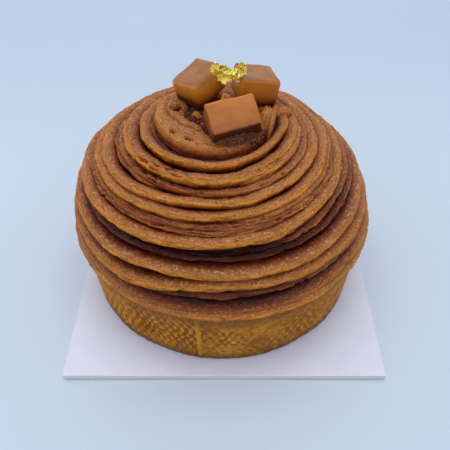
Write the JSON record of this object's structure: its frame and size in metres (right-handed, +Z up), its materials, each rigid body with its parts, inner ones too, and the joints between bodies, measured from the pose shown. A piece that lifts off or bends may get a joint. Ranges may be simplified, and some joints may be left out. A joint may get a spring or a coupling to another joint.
{
  "type": "mont blanc tart",
  "caption": "Mont blanc tart on a square card: ribbed chestnut cream dome over a straight-sided tart shell, topped with chestnut paste cubes and gold leaf.",
  "frame": {"origin": "middle of the card's underside", "axes": "+Z up, +X to the right and +Y to the back when the tart is seen from its front"},
  "size_m": [0.0814, 0.082, 0.0621],
  "materials": {
    "card": "white coated card, satin",
    "pastry": "baked golden-brown shortcrust with a fine bumpy grid, matte",
    "cream": "piped chestnut cream, fine grain, moist satin",
    "chestnut_paste": "slightly translucent chestnut paste, smooth satin",
    "gold": "crumpled edible gold leaf, bright"
  },
  "bodies": {
    "root": {"card": "card", "tart_shell": "pastry", "chestnut_cream": "cream", "cube_left": "chestnut_paste", "cube_right": "chestnut_paste", "cube_front": "chestnut_paste", "gold_leaf": "gold"}
  },
  "joints": []
}
